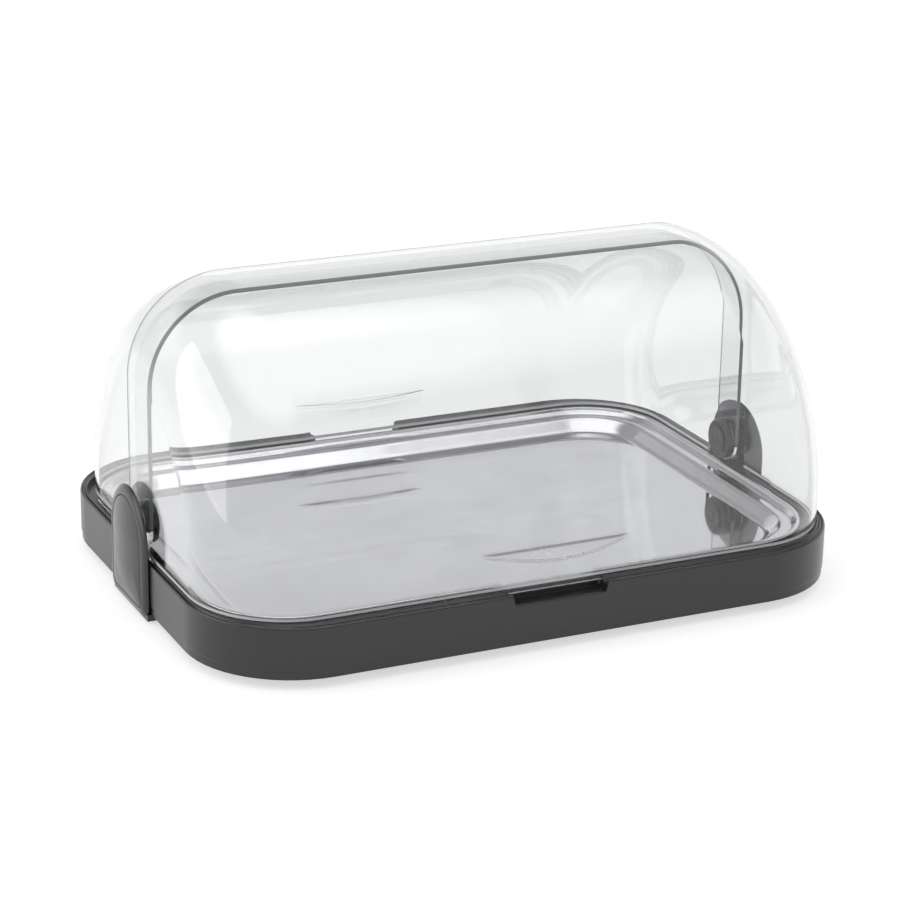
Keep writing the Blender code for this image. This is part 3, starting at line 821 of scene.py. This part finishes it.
class ROLLTOP_OT_brackets(bpy.types.Operator):
    """Build the two arched hinge brackets with their raised panels"""
    bl_idname = "rolltop.brackets"
    bl_label = "Hinge brackets"

    def execute(self, context):
        sizes = context.scene.rolltop_sizes
        height = sizes.pivot_height
        end = sizes.base_length / 2
        half = 0.032
        bottom = 0.0015
        corner = 0.01
        middle = height - 0.0075
        back = end + 0.0003
        back_round = 0.0004
        start = back + back_round
        face = end + 0.0039
        recess = face - 0.0014
        frame_width = 0.0062
        panel_gap = 0.0002
        pillow = 0.86 * math.pi / 2
        pillow_steps = 10
        joint_sink = 0.0012
        boss_radius = 0.011
        flange_reach = 0.018
        flange_inset = 0.0008
        flange_thick = 0.0042
        panel_half = half - frame_width - panel_gap
        panel_bottom = bottom + frame_width
        panel_round = 0.0004
        dome_start = 0.0006
        dome_share = 0.92
        dome_steps = 14
        dome_height = 0.003
        frame_line = [(back, back_round)]
        for step in range(pillow_steps + 1):
            angle = pillow * step / pillow_steps
            frame_line.append((start + (face - start) * math.sin(angle) / math.sin(pillow),
                               frame_width * (1 - math.cos(angle)) / (1 - math.cos(pillow))))
        frame_line += [(along, frame_width + panel_gap) for along in (face - 0.0004, recess)]
        panel_corner = corner - frame_width
        panel_line = [(along, panel_corner, panel_round)
                      for along in (recess + 0.0002, face - 0.0003)]
        for step in range(dome_steps + 1):
            share = dome_share * step / dome_steps
            inset = dome_start + (panel_half - dome_start) * share
            panel_line.append((face + dome_height * (1 - (1 - share) ** 2),
                               panel_corner + 2.2 * inset, inset))
        for side, word in SIDES:
            rings = [arch(half, bottom, corner, side * along, middle, inset)
                     for along, inset in frame_line]
            bracket = ring_mesh(word + "_bracket_moulding", rings, ["satin_abs"])
            joint = side * (back + joint_sink)
            boss = round_bar(boss_radius, side * (sizes.hood_half_length + 0.0005), joint, height)
            combine(bracket, boss, 'UNION')
            flange = block((joint, flange_inset - half, bottom),
                           (side * (end - flange_reach), half - flange_inset,
                            bottom + flange_thick))
            combine(bracket, flange, 'UNION')
            bore = round_bar(BORE_RADIUS, side * (sizes.hood_half_length - OVERRUN),
                             side * (recess + OVERRUN), height)
            combine(bracket, bore, 'DIFFERENCE')
            round_edges(bracket, 0.0003)
            finish_piece(bracket, "base", "dark_abs", word + "_bracket")

            rings = [arch(panel_half, panel_bottom, turn, side * along, middle, inset)
                     for along, turn, inset in panel_line]
            panel = ring_mesh(word + "_bracket_panel", rings, ["satin_abs"], 50)
            settle_normals(panel)
            finish_piece(panel, "base", "dark_abs", word + "_bracket_cover")
        return {'FINISHED'}


def ends_on_axis(node):
    """How far from the display's middle a node on the hinge axis starts and ends."""
    low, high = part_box(node)
    return sorted((abs(low.x), abs(high.x)))


class ROLLTOP_OT_hinges(bpy.types.Operator):
    """Build the hinge pins, washers, knobs and knob screws"""
    bl_idname = "rolltop.hinges"
    bl_label = "Hinge hardware"

    def execute(self, context):
        height = context.scene.rolltop_sizes.pivot_height

        def add(side, name, points, look, slot, node, steps=64):
            line = [(radius, side * along) for radius, along in turned_line(points)]
            piece = turned(name, line, 'X', (0, 0, height), [look], steps)
            finish_piece(piece, "base", slot, node)

        for side, word in SIDES:
            node = word + "_pivot_pin"
            inner, outer = ends_on_axis(node)
            head_radius, pin_radius = 0.007, 0.004
            head = outer - 0.0018
            add(side, word + "_hinge_pin", [
                (0, outer, 0), (head_radius, outer, 0.0005), (head_radius, head, 0.0002),
                (pin_radius, head, 0.0002), (pin_radius, inner, 0.0005), (0, inner, 0),
            ], "polished_steel", "polished_steel", node)

            node = word + "_spacer_washer"
            inner, outer = ends_on_axis(node)
            washer_radius = 0.009
            add(side, word + "_nylon_washer", [
                (BORE_RADIUS, inner, 0), (washer_radius, inner, 0.0003),
                (washer_radius, outer, 0.0003), (BORE_RADIUS, outer, 0),
            ], "white_nylon", "white_nylon", node)

            node = word + "_pivot_disc"
            inner, outer = ends_on_axis(node)
            face = inner + 0.0012
            ring_floor = face + 0.0012
            head_seat = inner + 0.0014
            pin_end = inner + 0.0028
            knob_radius, ring_outer, ring_inner = 0.0132, 0.0106, 0.0092
            head_recess, screw_bore = 0.0035, 0.0018
            add(side, word + "_hinge_knob", [
                (BORE_RADIUS, outer, 0), (knob_radius, outer, 0.0004), (knob_radius, face, 0.0014),
                (ring_outer, face, 0.0004), (ring_outer, ring_floor, 0.0003),
                (ring_inner, ring_floor, 0.0003), (ring_inner, inner, 0.0006),
                (head_recess, inner, 0.0003), (head_recess, head_seat, 0.0002),
                (screw_bore, head_seat, 0), (screw_bore, pin_end, 0), (BORE_RADIUS, pin_end, 0),
            ], "satin_abs", "dark_abs", node)

            node = word + "_disc_screw"
            inner, outer = ends_on_axis(node)
            head = inner + 0.0011
            head_radius, screw_radius = 0.0032, 0.0015
            add(side, word + "_knob_screw", [
                (0, inner, 0), (head_radius, inner, 0.0004), (head_radius, head, 0.0002),
                (screw_radius, head, 0.0001), (screw_radius, outer, 0.0003), (0, outer, 0),
            ], "dark_zinc", "zinc_steel", node, 32)
        return {'FINISHED'}


class ROLLTOP_OT_cool_packs(bpy.types.Operator):
    """Build the two cool packs and their caps under the tray"""
    bl_idname = "rolltop.cool_packs"
    bl_label = "Cool packs"

    def execute(self, context):
        corner = 0.02
        panel_depth = 0.0012
        socket_gap = 0.0003
        overrun = 0.003
        cap_rim = 0.002
        cap_depth = 0.0008
        for side, word in SIDES:
            low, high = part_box(word + "_cool_pack")
            centre = Vector(((low.x + high.x) / 2, 0, 0))
            corners = [
                ((0.003, low.z), 0),
                ((0.0, low.z), 0.003),
                ((0.0, high.z), 0.003),
                ((0.016, high.z), 0.0008),
                ((0.0172, high.z - panel_depth), 0.0006),
                ((0.019, high.z - panel_depth), 0),
            ]
            rings = []
            for inset, height in soften(corners, 6):
                station = inset_station((high.x - low.x) / 2, (high.y - low.y) / 2, corner,
                                        inset, height)
                rings.append([point + centre for point in rounded_ring(station, (), 10)])
            pack = ring_mesh(word + "_freezer_pack", rings, ["pack_polyethylene"])
            settle_normals(pack)

            low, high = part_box(word + "_cool_pack_cap")
            middle = ((low.x + high.x) / 2, (low.y + high.y) / 2, 0)
            radius = (high.x - low.x) / 2
            socket_radius = radius + socket_gap
            socket_floor = low.z - socket_gap
            socket_top = high.z + overrun
            socket = turned("cap socket", [(0, socket_floor), (socket_radius, socket_floor),
                                           (socket_radius, socket_top), (0, socket_top)],
                            'Z', middle, [])
            combine(pack, socket, 'DIFFERENCE')
            finish_piece(pack, "base", "pack_polyethylene", word + "_cool_pack")

            hollow = high.z - cap_depth
            hub = high.z - 0.0002
            cap_line = turned_line([
                (0, low.z, 0), (radius, low.z, 0.0003), (radius, high.z, 0.0006),
                (radius - cap_rim, high.z, 0.0003), (radius - cap_rim - 0.0006, hollow, 0.0003),
                (0.0022, hollow, 0.0002), (0.0018, hub, 0.0002), (0, hub, 0)])
            cap = turned(word + "_pack_cap", cap_line, 'Z', middle, ["cap_polyethylene"])
            finish_piece(cap, "base", "cap_polyethylene", word + "_cool_pack_cap")
        return {'FINISHED'}


# What repeats is placed by Geometry Nodes

def four_of_a_kind_tree():
    """Set a copy of an object on each corner of a level rectangle, made real and finished."""
    tree = bpy.data.node_groups.new("four of a kind", 'GeometryNodeTree')
    for name, kind in (("Source", 'NodeSocketObject'), ("Length", 'NodeSocketFloat'),
                       ("Width", 'NodeSocketFloat'), ("Finish", 'NodeSocketMaterial')):
        tree.interface.new_socket(name, in_out='INPUT', socket_type=kind)
    tree.interface.new_socket("Geometry", in_out='OUTPUT', socket_type='NodeSocketGeometry')
    given = add_node(tree, "NodeGroupInput").outputs
    grid = add_node(tree, "GeometryNodeMeshGrid",
                    {"Vertices X": 2, "Vertices Y": 2, "Size X": given["Length"],
                     "Size Y": given["Width"]})
    source = add_node(tree, "GeometryNodeObjectInfo", {"Object": given["Source"]})
    placed = add_node(tree, "GeometryNodeInstanceOnPoints",
                      {"Points": grid.outputs["Mesh"], "Instance": source.outputs["Geometry"]})
    real = add_node(tree, "GeometryNodeRealizeInstances",
                    {"Geometry": placed.outputs["Instances"]})
    finished = add_node(tree, "GeometryNodeSetMaterial",
                        {"Geometry": real.outputs["Geometry"], "Material": given["Finish"]})
    add_node(tree, "NodeGroupOutput", {"Geometry": finished.outputs["Geometry"]})
    return tree


def four_of_a_kind(name, source, low, high, look, *nodes):
    """Run the tree on a source object and finish the result as one plain mesh.

    The low and high corners are those of the copy at the front right.
    """
    tree = four_of_a_kind_tree()
    piece = add_object(name, bpy.data.meshes.new(name))
    step = piece.modifiers.new("four of a kind", 'NODES')
    step.node_group = tree
    values = {"Source": source, "Length": low.x + high.x, "Width": -(low.y + high.y),
              "Finish": LOOKS[look]}
    for item in tree.interface.items_tree:
        if item.in_out == 'INPUT':
            step[item.identifier] = values[item.name]
    apply_modifiers(piece)
    bpy.data.objects.remove(source)
    if not piece.data.vertices:
        raise RuntimeError(name + " came out empty")
    piece.data.set_sharp_from_angle(angle=math.radians(32))
    finish_piece(piece, "base", look, *nodes)


class ROLLTOP_OT_fasteners(bpy.types.Operator):
    """Set the bracket screws and the rubber feet under the display"""
    bl_idname = "rolltop.fasteners"
    bl_label = "Screws and feet"

    def execute(self, context):
        low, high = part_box("right_front_bracket_screw")
        head = low.z + 0.0019
        head_radius, thread_radius = 0.0032, 0.0015
        line = turned_line([
            (0, low.z + 0.0002, 0), (0.002, low.z, 0.0004),
            (head_radius, low.z + 0.0006, 0.0005), (head_radius, head, 0.0002),
            (thread_radius, head, 0.0002), (thread_radius, high.z, 0.0006), (0, high.z, 0)])
        source = turned("screw source", line, 'Z', (0, 0, 0), ["zinc_steel"], 32)
        slot_length, slot_width = 0.0036, 0.0007
        slot_floor = low.z + 0.0011
        for along, across in ((slot_length, slot_width), (slot_width, slot_length)):
            cross = block((-along / 2, -across / 2, low.z - 0.001),
                          (along / 2, across / 2, slot_floor))
            combine(source, cross, 'DIFFERENCE')
        four_of_a_kind("bracket_screws", source, low, high, "zinc_steel",
                       "left_front_bracket_screw", "left_rear_bracket_screw",
                       "right_front_bracket_screw", "right_rear_bracket_screw")

        low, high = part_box("front_right_foot")
        radius = (high.x - low.x) / 2
        hollow = low.z + 0.0008
        taper = 0.0012
        line = turned_line([
            (0, hollow, 0), (0.0045, hollow, 0.0004), (0.0052, low.z, 0.0003),
            (radius - taper, low.z, 0.0006), (radius, high.z - taper, 0.0004),
            (radius, high.z, 0), (0, high.z, 0)])
        source = turned("foot source", line, 'Z', (0, 0, 0), ["black_rubber"], 48)
        four_of_a_kind("rubber_feet", source, low, high, "black_rubber", "front_left_foot",
                       "front_right_foot", "rear_left_foot", "rear_right_foot")
        return {'FINISHED'}


# Light, floor and camera

# The studio that metal and gloss reflect, as (place from straight down to straight up, share of
# the ceiling's brightness): white walls, a dim gap above them and a bright ceiling panel.
STUDIO_WALLS = ((0.0, 0.56), (0.42, 0.56), (0.56, 0.25), (0.8, 0.25), (0.9, 1.0))
STUDIO_CEILING = 1.8
WHITE = (1, 1, 1, 1)


def seen_share(tree):
    """1 for the rays of the camera, of glossy metal and through clear plastic, otherwise 0."""
    path = add_node(tree, "ShaderNodeLightPath").outputs
    reflected = calculate(tree, 'MAXIMUM', path["Is Camera Ray"], path["Is Glossy Ray"])
    return calculate(tree, 'MAXIMUM', reflected, path["Is Transmission Ray"])


def background_look(name, colour, glow):
    """Matt white paper that the camera, metal and clear plastic see glow, with a soft shadow."""
    look, tree = new_material(name)[:2]
    matt = add_node(tree, "ShaderNodeBsdfDiffuse", {"Color": colour}).outputs["BSDF"]
    light = add_node(tree, "ShaderNodeEmission", {"Color": WHITE, "Strength": glow})
    both = add_node(tree, "ShaderNodeAddShader", {0: matt, 1: light.outputs["Emission"]})
    show(tree, mix_shaders(tree, seen_share(tree), matt, both.outputs["Shader"]))
    return look


def studio_world(light_level):
    """Plain light all round, white to the camera, with the studio for what metal reflects."""
    world = bpy.data.worlds.new("plain studio")
    world.use_nodes = True
    tree = world.node_tree
    tree.nodes.clear()

    def backdrop(colour, strength):
        return add_node(tree, "ShaderNodeBackground",
                        {"Color": colour, "Strength": strength}).outputs["Background"]

    plain = mix_shaders(tree, seen_share(tree), backdrop(WHITE, light_level),
                        backdrop(WHITE, 1.0))
    direction = add_node(tree, "ShaderNodeTexCoord").outputs["Generated"]
    height = add_node(tree, "ShaderNodeSeparateXYZ", {"Vector": direction}).outputs["Z"]
    walls = add_node(tree, "ShaderNodeValToRGB", {"Fac": height})
    ramp = walls.color_ramp.elements
    while len(ramp) < len(STUDIO_WALLS):
        ramp.new(1.0)
    for element, (rise, level) in zip(ramp, STUDIO_WALLS):
        element.position = rise
        element.color = (level, level, level, 1.0)
    glossy = add_node(tree, "ShaderNodeLightPath").outputs["Is Glossy Ray"]
    studio = backdrop(walls.outputs["Color"], STUDIO_CEILING)
    show(tree, mix_shaders(tree, glossy, plain, studio), "ShaderNodeOutputWorld")
    return world


def add_lamp(name, power, size, spot, target):
    """A large soft square lamp at a spot, facing a target."""
    lamp = bpy.data.lights.new(name, 'AREA')
    lamp.energy = power
    lamp.size = size
    holder = add_object(name, lamp)
    turn = (Vector(target) - Vector(spot)).to_track_quat('-Z', 'Y')
    holder.matrix_world = Matrix.Translation(spot) @ turn.to_matrix().to_4x4()
    return holder


def photo_camera():
    """The camera at the photograph's place: distance, turn, tilt, roll and lens."""
    target = Vector((0, 0, 0.08345))
    distance = 1.7829
    turn, tilt, roll = (math.radians(value) for value in (-25.224, 19.214, 0.969))
    data = bpy.data.cameras.new("photo camera")
    data.sensor_width = 36.0
    data.lens = 111.8
    data.shift_x = 0.0021
    data.shift_y = -0.0193
    data.clip_start = 0.05
    data.clip_end = 100
    camera = add_object("photo camera", data)
    aim = (Matrix.Rotation(turn, 4, 'Z') @ Matrix.Rotation(math.pi / 2 - tilt, 4, 'X')
           @ Matrix.Rotation(roll, 4, 'Z'))
    camera.matrix_world = Matrix.Translation(target) @ aim @ Matrix.Translation((0, 0, distance))
    bpy.context.scene.camera = camera


class ROLLTOP_OT_stage(bpy.types.Operator):
    """Set up the floor, the light and the camera"""
    bl_idname = "rolltop.stage"
    bl_label = "Stage"

    def execute(self, context):
        scene = context.scene
        colours = scene.rolltop_colours
        scene.view_settings.view_transform = 'Standard'
        shape = bmesh.new()
        bmesh.ops.create_grid(shape, x_segments=1, y_segments=1, size=30.0,
                              matrix=Matrix.Translation((0, 0, -0.0003)))
        LOOKS["paper"] = background_look("matt paper", (*colours.background, 1.0),
                                         colours.background_glow)
        floor = link_mesh("studio_floor", shape, ["paper"])

        scene.world = studio_world(colours.light_level)
        power = colours.lamp_power
        add_lamp("left window lamp", power * 2.4, 1.8, (-2.0, 0.5, 0.8), (0, 0, 0.08))
        top = add_lamp("top lamp", power * 0.8, 1.8, (0.0, 0.1, 2.1), (0, 0, 0.05))
        top.visible_glossy = False
        photo_camera()
        return {'FINISHED'}


class ROLLTOP_PT_panel(bpy.types.Panel):
    """The display's sizes and the steps that build it"""
    bl_idname = "ROLLTOP_PT_panel"
    bl_label = "Chilled roll-top display"
    bl_space_type = 'VIEW_3D'
    bl_region_type = 'UI'
    bl_category = "Roll-top"

    def draw(self, context):
        column = self.layout.column()
        for group in (context.scene.rolltop_sizes, context.scene.rolltop_colours):
            for name in group.__annotations__:
                column.prop(group, name)
        for step in STEPS:
            column.operator(step.bl_idname)


STEPS = (ROLLTOP_OT_base, ROLLTOP_OT_tray, ROLLTOP_OT_front_hood, ROLLTOP_OT_rear_hood,
         ROLLTOP_OT_brackets, ROLLTOP_OT_hinges, ROLLTOP_OT_cool_packs, ROLLTOP_OT_fasteners,
         ROLLTOP_OT_stage)
CLASSES = (RollTopSizes, RollTopColours, *STEPS, ROLLTOP_PT_panel)


def register():
    for kind in CLASSES:
        bpy.utils.register_class(kind)
    bpy.types.Scene.rolltop_sizes = PointerProperty(type=RollTopSizes)
    bpy.types.Scene.rolltop_colours = PointerProperty(type=RollTopColours)


def unregister():
    del bpy.types.Scene.rolltop_colours
    del bpy.types.Scene.rolltop_sizes
    for kind in reversed(CLASSES):
        bpy.utils.unregister_class(kind)


def main():
    register()
    make_looks()
    for step in STEPS:
        group, name = step.bl_idname.split(".")
        getattr(getattr(bpy.ops, group), name)()


if __name__ == "__main__":
    main()
